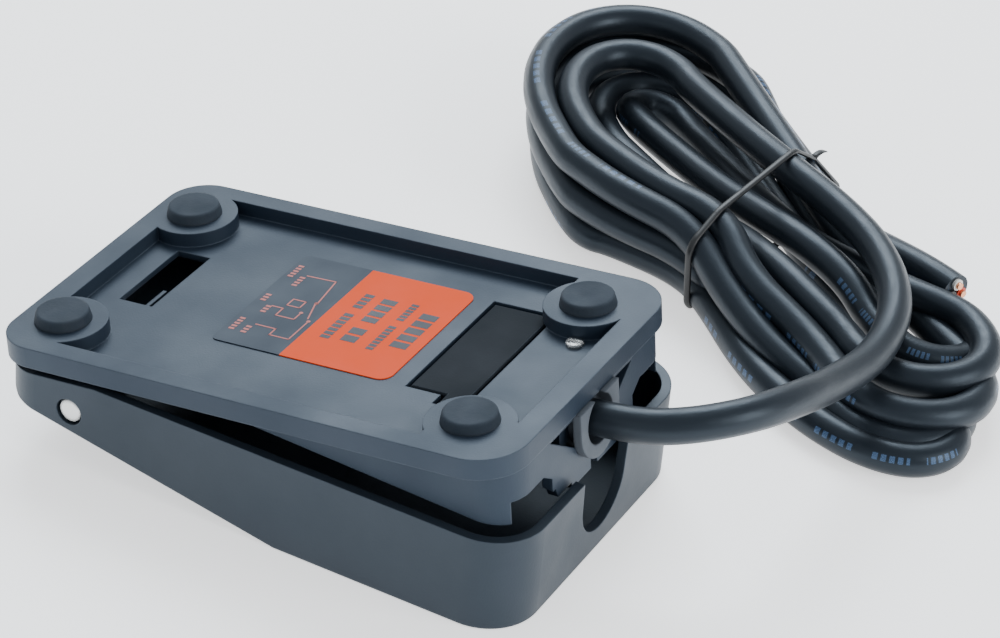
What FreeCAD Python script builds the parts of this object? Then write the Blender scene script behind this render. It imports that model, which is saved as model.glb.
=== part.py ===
"""Small foot switch lying on its tread, with its lead tied in a hank beside it.

Millimetres. The row's own frame is +Z up, with the front flat of the tread on z = 0.
Two working frames are used:
  pedal frame - the same as the row's frame; z is measured up from the tread;
  plate frame - z = 0 is the face of the base that carries the rubber feet, z grows
                outwards; the whole frame is then turned about the hinge pin by the
                angle that the spring holds the pedal open.
"""
import FreeCAD
import Part
import math
import os
import Sketcher

Vector = FreeCAD.Vector

DIMENSIONS = {
    # hinge, in the plate frame; the tread lies pin_height below the pin
    "hinge_x": -35.9, "hinge_z": -11.1, "pin_height": 11.8, "open_angle": 8.0,
    "pin_radius": 1.9, "pin_play": 0.05, "pin_head": 2.3, "pin_head_long": 1.0,
    "pin_ring": 2.6, "pin_length": 65.0, "pin_round": 0.5,
    # base plate
    "base_length": 103.0, "base_width": 65.6, "base_corner": 9.0, "heel_corner": 7.5,
    "flange_deep": 4.0,
    "skin_low": 5.8, "skin_lap": 0.5, "tray_cut": 4.0, "recess_deep": 2.8,
    "recess_end": 4.6, "recess_side": 4.0,
    # wedge that hangs inside the pedal
    "wedge_half": 29.8, "wedge_start": -12.0, "wedge_end": 50.8, "wedge_corner": 7.0,
    "wedge_slope": 9.9, "wedge_wall": 2.0,
    # feet
    "foot_hinge_x": -43.4, "foot_cord_x": 39.2, "foot_y": 21.5, "foot_boss": 8.1,
    "fill_back": 5.7, "fill_side": 2.0,
    "foot_radius": 5.2, "foot_top": 4.75, "foot_high": 2.0, "foot_round": 0.5,
    "stem_radius": 2.4, "stem_long": 3.0,
    # openings in the floor of the recess
    "slot_near": -7.3, "slot_far": 12.2, "slot_left": -41.3, "slot_right": -34.3,
    "slot_skin": 1.1, "slot_round": 2.5,
    "seat_left": 21.2, "seat_right": 34.0, "seat_near": -12.4, "seat_far": 19.6,
    "seat_deep": 1.8, "ledge": 1.3,
    "cover_left": 21.5, "cover_right": 33.1, "cover_near": -11.4, "cover_far": 19.3,
    "cover_thick": 1.5, "cover_edge": 0.3,
    "tab_left": 28.2, "tab_right": 32.4, "tab_near": -15.4, "tab_gap": 0.5,
    # labels
    "label_left": -4.2, "label_right": 17.6, "label_near": -12.6, "label_far": 20.2,
    "label_corner": 2.5, "label_thick": 0.2, "wiring_left": -18.4,
    # end wall and cable bushing
    "cord_radius": 3.25, "gland_z": -8.4, "ring_radius": 7.1, "ring_thick": 1.6,
    "mouth_radius": 4.6, "mouth_deep": 3.0, "barrel_radius": 5.0, "collar_radius": 5.4,
    "collar_thick": 1.4, "gland_block": 2.5, "gland_half": 8.3, "wall_low": 18.2,
    "vee_half": 15.3, "vee_top": 5.2, "vee_low": 14.6, "vee_slot": 1.2,
    "tooth_out": 13.2, "tooth_low": 17.0, "slant_out": 15.0, "slant_low": 12.4,
    "notch_in": 18.0, "notch_out": 27.0, "notch_high": 10.4,
    # cable clamp
    "clamp_left": 38.3, "clamp_right": 44.0, "clamp_near": -8.0, "clamp_far": 15.0,
    "clamp_low": 14.2, "clamp_screw_x": 41.4, "clamp_screw_y": 12.0, "tail_start": 36.5,
    "screw_high": 0.7,
    # hinge lugs
    "lug_half": 3.0, "lug_in": 24.0, "lug_out": 30.4, "lug_below": 0.8,
    # snap switch, long axis along Y
    "switch_x": 27.3, "switch_y": 3.0, "switch_wide": 6.4, "switch_long": 19.8,
    "switch_top": 7.2, "switch_high": 10.2, "bolt_pitch": 9.5, "bolt_z": -13.5,
    "bolt_radius": 1.0, "terminal_pitch": 7.0, "terminal_wide": 2.8,
    "terminal_thick": 0.5, "terminal_high": 2.2, "wire_radius": 0.9,
    # lever and plunger of the switch
    "lever_pivot": -5.9, "lever_z": -18.2, "lever_long": 17.0, "lever_wide": 3.8,
    "lever_thick": 0.4, "lever_rod": 0.4, "lever_play": 0.05, "lever_open": 8.0,
    "plunger_y": -2.0, "plunger_radius": 1.2, "plunger_gap": 0.1, "plunger_long": 2.0,
    "plunger_tip": -18.2,
    # bracket of the switch
    "bracket_thick": 1.2, "bracket_left": 12.0, "bracket_near": -4.0, "bracket_far": 10.0,
    "post_high": 3.2, "post_radius": 2.6, "post_x": 16.0, "post_pitch": 7.0,
    # pedal
    "pedal_hinge_end": -50.8, "pedal_cord_end": 53.3, "pedal_half": 32.8, "rim_z": 18.6,
    "pedal_corner": 10.0, "pedal_wall": 1.8, "tread_bend": 6.6, "tread_slope": 10.0,
    "relief_start": -30.8, "relief_end_z": 15.8, "heel_z": 9.9,
    "tread_round": 0.6, "notch_top": 8.3, "notch_radius": 7.9, "notch_z": 12.5,
    "groove_wide": 1.4, "groove_deep": 0.6, "groove_pitch": 4.4, "groove_half": 24.0,
    "striker_left": 24.5, "striker_right": 29.5, "striker_near": 5.5,
    "striker_far": 10.5, "striker_high": 1.8,
    # return spring, upright in the row's frame
    "spring_x": 2.0, "spring_radius": 4.5, "spring_wire": 0.5, "spring_low": 4.6,
    "spring_high": 21.2, "spring_turns": 6.5, "spring_points": 12, "seat_radius": 6.0, "seat_z": 4.0,
    "spigot_radius": 3.0, "spigot_high": 2.5,
    # hank, in its own frame: x along it, y across it
    "hank_x": 33.0, "hank_y": 100.0, "hank_turn": -37.5, "hank_high": 21.3,
    "hank_low": 14.2, "hank_left": -70.5, "hank_right": 85.0, "lobe_near": -32.5,
    "lobe_far": 31.0, "lobe_corner": 24.0, "lobe_end": -10.0, "waist_near": -22.8,
    "waist_far": 24.6, "step_x": 15.3, "fan_start": 44.0, "fan_near": -24.0,
    "fan_far": 29.0, "fan_slant_x": 64.0, "fan_slant_y": 4.0, "fan_corner": 10.0,
    # tie round the waist of the hank
    "tie_x": 3.8, "tie_y": 0.9, "tie_turn": 29.0, "tie_wide": 2.5, "tie_out": 27.9,
    "tie_in": 27.0, "tie_high": 21.8, "tie_thick": 0.8,
    # cut end of the lead, in the hank's frame
    "end_start_x": 16.0, "end_start_y": 22.0, "end_x": 37.0, "end_y": 27.0,
    "end_z": 10.0, "core_radius": 1.15, "core_long": 0.6, "core_spread": 1.45,
    "copper_radius": 0.7, "copper_long": 0.6,
}

# The lead leaves the bushing, bends round in the air and comes down on the hank.
LEAD = [Vector(57.7, 0, 27.7), Vector(66.3, 3.4, 29.3), Vector(74, 12, 29.8),
        Vector(77.2, 24, 27.4), Vector(78.4, 39, 22.6), Vector(79.4, 57, 18.6),
        Vector(76, 75.5, 18)]
LEAD_LAST = [(32.0, 12.7, 17.9), (15.3, 12.7, 17.9)]    # in the hank's frame

doc = FreeCAD.newDocument("FootSwitch")
sheet = doc.addObject("Spreadsheet::Sheet", "Dims")
parts = []


def fill_sheet():
    for row, (alias, value) in enumerate(DIMENSIONS.items(), start=1):
        sheet.set("A%d" % row, alias)
        sheet.set("B%d" % row, str(value))
        sheet.setAlias("B%d" % row, alias)
    doc.recompute()


def text(expression):
    """An expression over the sheet's aliases, as FreeCAD wants it written."""
    words = "".join(c if c.isalnum() or c == "_" else " " for c in str(expression)).split()
    result = str(expression)
    for word in sorted(set(words) & set(DIMENSIONS), key=len, reverse=True):
        result = replace_word(result, word, "Dims." + word)
    return result


def replace_word(line, word, new):
    out, i = "", 0
    while i < len(line):
        before = line[i - 1] if i else " "
        after = line[i + len(word)] if i + len(word) < len(line) else " "
        alone = not (before.isalnum() or before in "_.") and not (after.isalnum() or after == "_")
        if line.startswith(word, i) and alone:
            out += new
            i += len(word)
        else:
            out += line[i]
            i += 1
    return out


def value(expression):
    found = sheet.evalExpression(text(expression))
    return float(getattr(found, "Value", found))


# ---------------------------------------------------------------- sketches and features

def make_body(label):
    body = doc.addObject("PartDesign::Body", label)
    body.Label = label
    return body


def make_sketch(body, role, offset="0"):
    plane = [f for f in body.Origin.OriginFeatures if f.Role == role][0]
    sketch = body.newObject("Sketcher::SketchObject", "Sketch")
    sketch.AttachmentSupport = [(plane, "")]
    sketch.MapMode = "FlatFace"
    sketch.setExpression("AttachmentOffset.Base.z", text(offset))
    return sketch


def bind(sketch, kind, geometry, point, expression):
    number = sketch.addConstraint(
        Sketcher.Constraint(kind, -1, 1, geometry, point, value(expression)))
    sketch.setExpression("Constraints[%d]" % number, text(expression))


def add_polygon(sketch, corners):
    first = sketch.GeometryCount
    places = [Vector(value(x), value(y), 0) for x, y in corners]
    count = len(places)
    for i in range(count):
        sketch.addGeometry(Part.LineSegment(places[i], places[(i + 1) % count]))
    for i in range(count):
        sketch.addConstraint(
            Sketcher.Constraint("Coincident", first + i, 2, first + (i + 1) % count, 1))
    for i, (x, y) in enumerate(corners):
        bind(sketch, "DistanceX", first + i, 1, x)
        bind(sketch, "DistanceY", first + i, 1, y)


def add_rectangle(sketch, x0, y0, x1, y1):
    add_polygon(sketch, [(x0, y0), (x1, y0), (x1, y1), (x0, y1)])


def add_circle(sketch, x, y, radius):
    centre = Vector(value(x), value(y), 0)
    number = sketch.addGeometry(Part.Circle(centre, Vector(0, 0, 1), value(radius)))
    bind(sketch, "DistanceX", number, 3, x)
    bind(sketch, "DistanceY", number, 3, y)
    size = sketch.addConstraint(Sketcher.Constraint("Radius", number, value(radius)))
    sketch.setExpression("Constraints[%d]" % size, text(radius))


def pad(body, sketch, length, middle=False, back=False):
    feature = body.newObject("PartDesign::Pad", "Pad")
    feature.Profile = sketch
    feature.Midplane = middle
    feature.Reversed = back
    feature.setExpression("Length", text(length))
    doc.recompute()
    return feature


def pocket(body, sketch, length, middle=False, back=False):
    before = body.Tip.Shape.Volume
    feature = body.newObject("PartDesign::Pocket", "Pocket")
    feature.Profile = sketch
    feature.Midplane = middle
    feature.Reversed = back
    feature.setExpression("Length", text(length))
    doc.recompute()
    if not feature.Shape.Volume < before - 1e-6:
        raise RuntimeError("a pocket of %s cut nothing" % body.Label)
    return feature


def round_edges(body, wanted, radius, kind="PartDesign::Fillet"):
    """Fillet (or chamfer) every edge that wanted(edge) picks out."""
    shape = body.Tip.Shape
    names = ["Edge%d" % (i + 1) for i, edge in enumerate(shape.Edges) if wanted(edge)]
    if not names:
        raise RuntimeError("no edge to round on %s" % body.Label)
    base = body.Tip
    feature = body.newObject(kind, "Round")
    feature.Base = (base, names)
    size = "Radius" if kind.endswith("Fillet") else "Size"
    feature.setExpression(size, text(radius))
    doc.recompute()
    return feature


def along(edge, axis):
    """True for a straight edge that runs along the given axis."""
    if not isinstance(edge.Curve, Part.Line):
        return False
    return abs(edge.Curve.Direction.dot(axis)) > 0.999


# ---------------------------------------------------------------- primitives and booleans

def place(item, x, y, z):
    item.setExpression("Placement.Base.x", text(x))
    item.setExpression("Placement.Base.y", text(y))
    item.setExpression("Placement.Base.z", text(z))
    return item


def make_box(x0, y0, z0, x1, y1, z1):
    item = doc.addObject("Part::Box", "Box")
    item.setExpression("Length", text("(%s) - (%s)" % (x1, x0)))
    item.setExpression("Width", text("(%s) - (%s)" % (y1, y0)))
    item.setExpression("Height", text("(%s) - (%s)" % (z1, z0)))
    return place(item, x0, y0, z0)


TURNS = {"x": (Vector(0, 1, 0), 90), "y": (Vector(1, 0, 0), -90), "z": (Vector(0, 0, 1), 0)}


def make_cylinder(axis, x, y, z, radius, length):
    """A cylinder that starts at (x, y, z) and runs along +axis."""
    item = doc.addObject("Part::Cylinder", "Cylinder")
    item.Placement.Rotation = FreeCAD.Rotation(*TURNS[axis])
    item.setExpression("Radius", text(radius))
    item.setExpression("Height", text(length))
    return place(item, x, y, z)


def make_cone(x, y, z, low, high, length):
    item = doc.addObject("Part::Cone", "Cone")
    item.setExpression("Radius1", text(low))
    item.setExpression("Radius2", text(high))
    item.setExpression("Height", text(length))
    return place(item, x, y, z)


def fuse(*items):
    item = doc.addObject("Part::MultiFuse", "Fusion")
    item.Shapes = list(items)
    item.Refine = True
    return item


def cut(base, *tools):
    item = doc.addObject("Part::Cut", "Cut")
    item.Base = base
    item.Tool = tools[0] if len(tools) == 1 else fuse(*tools)
    return item


def group(*items):
    """One item of its own, or identical fasteners as separate solids of one node."""
    item = doc.addObject("Part::Compound", "Group")
    item.Links = list(items)
    return item


# ---------------------------------------------------------------- placing the sub-parts

def in_pedal(item, label):
    item.Label = label
    parts.append(item)
    return item


def in_plate(item, label):
    """Turn the plate frame about the hinge pin by the angle the pedal stands open."""
    item.Label = label
    item.Placement.Rotation = FreeCAD.Rotation(Vector(0, 1, 0), -DIMENSIONS["open_angle"])
    turn = "open_angle * 1 deg"
    place(item,
          "hinge_x - hinge_x * cos(%s) + hinge_z * sin(%s)" % (turn, turn),
          "0",
          "pin_height - hinge_x * sin(%s) - hinge_z * cos(%s)" % (turn, turn))
    parts.append(item)
    return item


def plate_point(x, y, z):
    """A point of the plate frame, given in the row's frame."""
    turn = math.radians(value("open_angle"))
    dx, dz = x - value("hinge_x"), z - value("hinge_z")
    return Vector(value("hinge_x") + dx * math.cos(turn) - dz * math.sin(turn), y,
                  value("pin_height") + dx * math.sin(turn) + dz * math.cos(turn))


# ---------------------------------------------------------------- tubes of cord and wire

def rounded_path(points):
    """Straight runs joined by tangent arcs, each as large as its two runs allow."""
    edges, radii, start = [], [], points[0]
    for before, corner, after in zip(points, points[1:], points[2:]):
        into, out = corner - before, after - corner
        half_turn = into.getAngle(out) / 2
        back = 0.45 * min(into.Length, out.Length)
        radii.append(back / math.tan(half_turn))
        first = corner - into.normalize() * back
        last = corner + out.normalize() * back
        middle_way = (first + last) * 0.5 - corner
        reach = radii[-1] / math.cos(half_turn) - radii[-1]
        middle = corner + middle_way.normalize() * reach
        edges.append(Part.LineSegment(start, first).toShape())
        edges.append(Part.Arc(first, middle, last).toShape())
        start = last
    edges.append(Part.LineSegment(start, points[-1]).toShape())
    return Part.Wire(edges), radii


def make_tube(label, points, radius):
    path, radii = rounded_path(points)
    circle = Part.makeCircle(radius, points[0], points[1] - points[0])
    shape = path.makePipeShell([Part.Wire([circle])], True, False)
    wanted = math.pi * radius ** 2 * path.Length
    print("%s: length %.1f, radii %s, volume ratio %.4f" % (
        label, path.Length, sorted({round(r) for r in radii}), shape.Volume / wanted))
    item = doc.addObject("Part::Feature", label)
    item.Shape = shape
    return item


# ---------------------------------------------------------------- base moulding

def base_housing():
    body = make_body("base_housing")
    wedge(body)
    plate = make_sketch(body, "XY_Plane", "-flange_deep")
    add_rectangle(plate, "-base_length / 2", "-base_width / 2",
                  "base_length / 2", "base_width / 2")
    pad(body, plate, "flange_deep")
    end = value("base_length") / 2
    round_edges(body, lambda e: along(e, Vector(0, 0, 1)) and
                abs(e.CenterOfMass.x - end) < 0.1, "base_corner")
    round_edges(body, lambda e: along(e, Vector(0, 0, 1)) and
                abs(e.CenterOfMass.x + end) < 0.1, "heel_corner")
    hollow_wedge(body)
    floor_of_recess(body)
    end_wall(body)
    inner_posts(body)
    in_plate(body, "base_housing")


def wedge(body):
    """Side and end walls get deeper towards the cord."""
    side = make_sketch(body, "XZ_Plane")
    low = "-flange_deep - (wedge_end - wedge_start) * tan(wedge_slope * 1 deg)"
    add_polygon(side, [("wedge_start", "-flange_deep"), ("wedge_end", low),
                       ("wedge_end", "-1"), ("wedge_start", "-1")])
    pad(body, side, "2 * wedge_half", middle=True)
    end = value("wedge_end")
    round_edges(body, lambda e: along(e, Vector(0, 0, 1)) and
                abs(e.CenterOfMass.x - end) < 0.1, "wedge_corner")


def hollow_wedge(body):
    inside = make_sketch(body, "XY_Plane", "-flange_deep")
    add_tray(inside, "wedge_start + 1", "0")
    pocket(body, inside, "wall_low")
    skin = make_sketch(body, "XY_Plane", "-skin_low")
    add_tray(skin, "foot_hinge_x - stem_radius", "skin_lap")
    pad(body, skin, "skin_low - flange_deep / 2")


def add_tray(sketch, start, lap):
    """Outline between the side walls, its corners at the lead's end cut off."""
    side = "(wedge_half - wedge_wall + %s)" % lap
    end = "(wedge_end - wedge_wall + %s)" % lap
    add_polygon(sketch, [(start, "-" + side), (end + " - tray_cut", "-" + side),
                         (end, "tray_cut - " + side), (end, side + " - tray_cut"),
                         (end + " - tray_cut", side), (start, side)])


def floor_of_recess(body):
    recess = make_sketch(body, "XY_Plane")
    add_rectangle(recess, "recess_end - base_length / 2", "recess_side - base_width / 2",
                  "base_length / 2 - recess_end", "base_width / 2 - recess_side")
    pocket(body, recess, "recess_deep")
    bosses = make_sketch(body, "XY_Plane", "-recess_deep")
    for x in ("foot_hinge_x", "foot_cord_x"):
        for y in ("-foot_y", "foot_y"):
            add_circle(bosses, x, y, "foot_boss")
    common = pad(body, bosses, "recess_deep")
    check_bosses(body, common)
    fill_corners(body)
    sockets = make_sketch(body, "XY_Plane")
    for x in ("foot_hinge_x", "foot_cord_x"):
        for y in ("-foot_y", "foot_y"):
            add_circle(sockets, x, y, "stem_radius")
    pocket(body, sockets, "stem_long")
    openings = make_sketch(body, "XY_Plane", "-recess_deep")
    add_rectangle(openings, "slot_left", "slot_near", "slot_right", "slot_far")
    add_rectangle(openings, "seat_left + ledge", "seat_near + 2.1",
                  "seat_right - ledge", "seat_far - ledge")
    pocket(body, openings, "skin_low - recess_deep + 1")
    thin = make_sketch(body, "XY_Plane", "-skin_low")
    add_rectangle(thin, "slot_left - slot_round", "slot_near - slot_round",
                  "slot_right + slot_round", "slot_far + slot_round")
    pocket(body, thin, "skin_low - recess_deep - slot_skin", back=True)
    seat = make_sketch(body, "XY_Plane", "-recess_deep")
    add_polygon(seat, with_tab("seat_left", "seat_near", "seat_right", "seat_far",
                               "tab_left", "tab_near", "tab_right"))
    pocket(body, seat, "seat_deep")
    hole = make_sketch(body, "XY_Plane")
    add_circle(hole, "clamp_screw_x", "clamp_screw_y", "bolt_radius")
    pocket(body, hole, "skin_low + 1")


def with_tab(left, near, right, far, tab_left, tab_near, tab_right):
    """Corners of a rectangle with a tab on its near side."""
    return [(left, near), (tab_left, near), (tab_left, tab_near), (tab_right, tab_near),
            (tab_right, near), (right, near), (right, far), (left, far)]


def fill_corners(body):
    """The bosses at the lead's end run into the rim without a gap behind them."""
    fills = make_sketch(body, "XY_Plane", "-recess_deep")
    left, right = "foot_cord_x - fill_back", "base_length / 2 - recess_end + 1"
    low, high = "foot_y + fill_side", "base_width / 2 - recess_side + 1"
    add_rectangle(fills, left, low, right, high)
    add_rectangle(fills, left, "-(%s)" % high, right, "-(%s)" % low)
    pad(body, fills, "recess_deep")


def check_bosses(body, bosses):
    """The bosses stay inside the outline of the plate."""
    box = bosses.Shape.BoundBox
    if box.YMax > value("base_width") / 2 + 0.01 or box.XMin < -value("base_length") / 2 - 0.01:
        raise RuntimeError("a foot boss stands out of the plate")


def end_wall(body):
    """The wall that the lead leaves through: its lower edge steps down to the gland."""
    wall = make_sketch(body, "YZ_Plane", "wedge_end - wedge_wall")
    edge = [("gland_half", "-wall_low"), ("gland_half", "-tooth_low"),
            ("tooth_out", "-tooth_low"), ("slant_out", "-slant_low"),
            ("slant_out", "-flange_deep")]
    mirror = [("-" + y, z) for y, z in reversed(edge)]
    add_polygon(wall, mirror + edge)
    pad(body, wall, "wedge_wall")
    block = make_sketch(body, "YZ_Plane", "wedge_end - wedge_wall - gland_block")
    add_rectangle(block, "-gland_half", "-wall_low", "gland_half", "-flange_deep")
    pad(body, block, "gland_block")
    vee = make_sketch(body, "YZ_Plane", "wedge_end")
    add_polygon(vee, [("-vee_half", "-vee_top"), ("-vee_slot", "-vee_low"),
                      ("-vee_slot", "-wall_low - 1"), ("vee_slot", "-wall_low - 1"),
                      ("vee_slot", "-vee_low"), ("vee_half", "-vee_top")])
    pocket(body, vee, "wedge_wall")
    bore = make_sketch(body, "YZ_Plane", "wedge_end")
    add_circle(bore, "0", "gland_z", "barrel_radius")
    pocket(body, bore, "wedge_wall + gland_block")
    collar = make_sketch(body, "YZ_Plane", "wedge_end - wedge_wall - gland_block")
    add_circle(collar, "0", "gland_z", "collar_radius")
    pocket(body, collar, "collar_thick + 0.2")
    channel = make_sketch(body, "YZ_Plane", "wedge_end")
    add_circle(channel, "0", "gland_z", "cord_radius")
    pocket(body, channel, "wedge_end - tail_start + 1")
    for side in ("", "-"):
        notch = make_sketch(body, "YZ_Plane", "wedge_end + 1")
        add_polygon(notch, [(side + "slant_out", "-wall_low"),
                            (side + "slant_out", "-slant_low"),
                            (side + "notch_in", "-notch_high"),
                            (side + "notch_out", "-notch_high"),
                            (side + "notch_out", "-wall_low")])
        pocket(body, notch, "wedge_wall + 2")


def inner_posts(body):
    """Hinge lugs, spring spigot and the two posts that carry the switch bracket."""
    for side in ("-1", "1"):
        lug = make_sketch(body, "XZ_Plane")
        lug.setExpression("AttachmentOffset.Base.z",
                          text("-(%s) * (lug_in + lug_out) / 2" % side))
        add_rectangle(lug, "hinge_x - lug_half", "hinge_z - lug_below",
                      "hinge_x + lug_half", "-flange_deep")
        pad(body, lug, "lug_out - lug_in", middle=True)
    bore = make_sketch(body, "XZ_Plane")
    add_circle(bore, "hinge_x", "hinge_z", "pin_radius + pin_play")
    pocket(body, bore, "3 * lug_out", middle=True)
    posts = make_sketch(body, "XY_Plane", "-skin_low")
    for side in ("-", "+"):
        add_circle(posts, "post_x", "switch_y %s post_pitch / 2" % side, "post_radius")
    pad(body, posts, "post_high", back=True)
    holes = make_sketch(body, "XY_Plane", "-skin_low - post_high")
    for side in ("-", "+"):
        add_circle(holes, "post_x", "switch_y %s post_pitch / 2" % side, "bolt_radius")
    pocket(body, holes, "post_high", back=True)
    rib = make_sketch(body, "XY_Plane", "-skin_low - 1")
    add_rectangle(rib, "slot_right - 2.4", "slot_near - 1", "slot_right - 1.6", "0")
    pad(body, rib, "skin_low - recess_deep")


# ---------------------------------------------------------------- pieces on the base

def rubber_feet():
    places = {"foot_hinge_near": ("foot_hinge_x", "-foot_y"),
              "foot_hinge_far": ("foot_hinge_x", "foot_y"),
              "foot_cord_near": ("foot_cord_x", "-foot_y"),
              "foot_cord_far": ("foot_cord_x", "foot_y")}
    for label, (x, y) in places.items():
        pad_of_foot = make_cone(x, y, "0", "foot_radius", "foot_top", "foot_high")
        stem = make_cylinder("z", x, y, "-stem_long", "stem_radius", "stem_long")
        foot = fuse(pad_of_foot, stem)
        doc.recompute()
        rounding = doc.addObject("Part::Fillet", "Rounded")
        rounding.Base = foot
        top = value("foot_high")
        size = value("foot_round")
        rounding.Edges = [(i + 1, size, size) for i, edge in enumerate(foot.Shape.Edges)
                          if abs(edge.BoundBox.ZMin - top) < 1e-6
                          and isinstance(edge.Curve, Part.Circle)]
        in_plate(rounding, label)


def access_cover():
    body = make_body("access_cover")
    top = "-recess_deep - seat_deep + cover_thick"
    outline = make_sketch(body, "XY_Plane", top + " - cover_thick")
    add_polygon(outline, with_tab("cover_left", "cover_near", "cover_right", "cover_far",
                                  "tab_left + tab_gap", "tab_near + tab_gap",
                                  "tab_right - tab_gap"))
    pad(body, outline, "cover_thick")
    high = value(top)
    round_edges(body, lambda e: abs(e.CenterOfMass.z - high) < 1e-3 and
                e.BoundBox.ZLength < 1e-3, "cover_edge", "PartDesign::Chamfer")
    in_plate(body, "access_cover")


def label_plates():
    upright = Vector(0, 0, 1)
    rating = make_body("rating_label")
    outline = make_sketch(rating, "XY_Plane", "-recess_deep")
    add_rectangle(outline, "label_left", "label_near", "label_right", "label_far")
    pad(rating, outline, "label_thick")
    right = value("label_right")
    round_edges(rating, lambda e: along(e, upright) and
                abs(e.CenterOfMass.x - right) < 0.1, "label_corner")
    in_plate(rating, "rating_label")
    wiring = make_body("wiring_label")
    outline = make_sketch(wiring, "XY_Plane", "-recess_deep")
    add_rectangle(outline, "wiring_left", "label_near", "label_left", "label_far")
    pad(wiring, outline, "label_thick")
    left = value("wiring_left")
    round_edges(wiring, lambda e: along(e, upright) and
                abs(e.CenterOfMass.x - left) < 0.1, "label_corner / 2")
    in_plate(wiring, "wiring_label")


def cable_bushing():
    """Moulded bushing: a flange in front of the wall, a barrel, and a collar behind."""
    back = "wedge_end - wedge_wall - gland_block"
    flange = make_cylinder("x", "wedge_end", "0", "gland_z", "ring_radius", "ring_thick")
    shoulders = make_box("wedge_end", "-ring_radius", "gland_z", "wedge_end + ring_thick",
                         "ring_radius", "-flange_deep - 0.1")
    above = make_box("wedge_end - 1", "-2 * ring_radius", "-flange_deep - 0.1",
                     "wedge_end + 4", "2 * ring_radius", "gland_z + 2 * ring_radius")
    barrel = make_cylinder("x", back, "0", "gland_z", "barrel_radius",
                           "wedge_wall + gland_block")
    collar = make_cylinder("x", back + " - collar_thick", "0", "gland_z", "collar_radius",
                           "collar_thick")
    bore = make_cylinder("x", back + " - 3", "0", "gland_z", "cord_radius", "20")
    mouth = make_cylinder("x", "wedge_end + ring_thick - mouth_deep", "0", "gland_z",
                          "mouth_radius", "2 * mouth_deep")
    in_plate(cut(fuse(flange, shoulders, barrel, collar), above, bore, mouth),
             "cable_bushing")


def cable_clamp():
    block = make_box("clamp_left", "clamp_near", "-clamp_low",
                     "clamp_right", "clamp_far", "-skin_low")
    channel = make_box("clamp_left - 1", "-cord_radius", "gland_z",
                       "clamp_right + 1", "cord_radius", "-skin_low + 1")
    groove = make_cylinder("x", "clamp_left - 1", "0", "gland_z", "cord_radius",
                           "clamp_right - clamp_left + 2")
    hole = make_cylinder("z", "clamp_screw_x", "clamp_screw_y", "-skin_low - 5",
                         "bolt_radius", "6")
    in_plate(cut(block, channel, groove, hole), "cable_clamp")
    head = make_cylinder("z", "clamp_screw_x", "clamp_screw_y", "-recess_deep", "1.6",
                         "screw_high")
    shank = make_cylinder("z", "clamp_screw_x", "clamp_screw_y", "-skin_low - 4",
                          "bolt_radius", "skin_low - recess_deep + 4")
    across = make_box("clamp_screw_x - 2", "clamp_screw_y - 0.2", "-recess_deep + screw_high / 2",
                      "clamp_screw_x + 2", "clamp_screw_y + 0.2", "0")
    in_plate(cut(fuse(head, shank), across), "clamp_screw")
    tail = make_cylinder("x", "tail_start", "0", "gland_z", "cord_radius",
                         "wedge_end - tail_start")
    in_plate(group(tail), "cord_tail")


# ---------------------------------------------------------------- snap switch

def switch_half(label, left, right):
    near, far = "switch_y - switch_long / 2", "switch_y + switch_long / 2"
    low = "-switch_top - switch_high"
    shell = make_box(left, near, low, right, far, "-switch_top")
    tools = [make_cylinder("z", "switch_x", "plunger_y", low + " - 1",
                           "plunger_radius + plunger_gap", "3.2")]
    for side in ("-", "+"):
        tools.append(make_cylinder("x", "switch_x - switch_wide",
                                   "switch_y %s bolt_pitch / 2" % side, "bolt_z",
                                   "bolt_radius", "2 * switch_wide"))
    for step in ("-1", "0", "1"):
        tools.append(terminal_blank(step, "-switch_top - 2"))
    ear_in = "lever_wide / 2 + 0.2"
    sign = "-" if label == "switch_case" else "+"
    ear_from = "switch_x - switch_wide / 2" if sign == "-" else "switch_x + " + ear_in
    ear_to = "switch_x - (%s)" % ear_in if sign == "-" else "switch_x + switch_wide / 2"
    ear = make_box(ear_from, "lever_pivot - 0.9", "lever_z - 0.8",
                   ear_to, "lever_pivot + 0.9", low)
    tools.append(make_cylinder("x", "switch_x - switch_wide", "lever_pivot", "lever_z",
                               "lever_rod + lever_play", "2 * switch_wide"))
    in_plate(cut(fuse(shell, ear), *tools), label)


def terminal_blank(step, low):
    return make_box("switch_x - terminal_thick / 2",
                    "switch_y + (%s) * terminal_pitch - terminal_wide / 2" % step, low,
                    "switch_x + terminal_thick / 2",
                    "switch_y + (%s) * terminal_pitch + terminal_wide / 2" % step,
                    "-switch_top + terminal_high")


def snap_switch():
    switch_half("switch_case", "switch_x - switch_wide / 2", "switch_x")
    switch_half("switch_cover", "switch_x", "switch_x + switch_wide / 2")
    for step, label in (("-1", "terminal_common"), ("0", "terminal_open"),
                        ("1", "terminal_closed")):
        in_plate(group(terminal_blank(step, "-switch_top - 2")), label)
    bolts, nuts = [], []
    for side in ("-", "+"):
        y = "switch_y %s bolt_pitch / 2" % side
        head = make_cylinder("x", "switch_x + switch_wide / 2", y, "bolt_z", "1.8", "1.2")
        shank = make_cylinder("x", "switch_x - switch_wide / 2 - bracket_thick - 1.8", y,
                              "bolt_z", "bolt_radius",
                              "switch_wide + bracket_thick + 1.8")
        bolts.append(fuse(head, shank))
        nuts.append(hex_nut(y))
    in_plate(group(*bolts), "switch_bolts")
    in_plate(group(*nuts), "switch_nuts")


def hex_nut(y):
    prism = doc.addObject("Part::Prism", "Prism")
    prism.Polygon = 6
    prism.Circumradius = 2.2
    prism.Height = 1.5
    prism.Placement.Rotation = FreeCAD.Rotation(*TURNS["x"])
    place(prism, "switch_x - switch_wide / 2 - bracket_thick - 1.5", y, "bolt_z")
    hole = make_cylinder("x", "switch_x - 2 * switch_wide", y, "bolt_z", "bolt_radius",
                         "3 * switch_wide")
    return cut(prism, hole)


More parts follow.
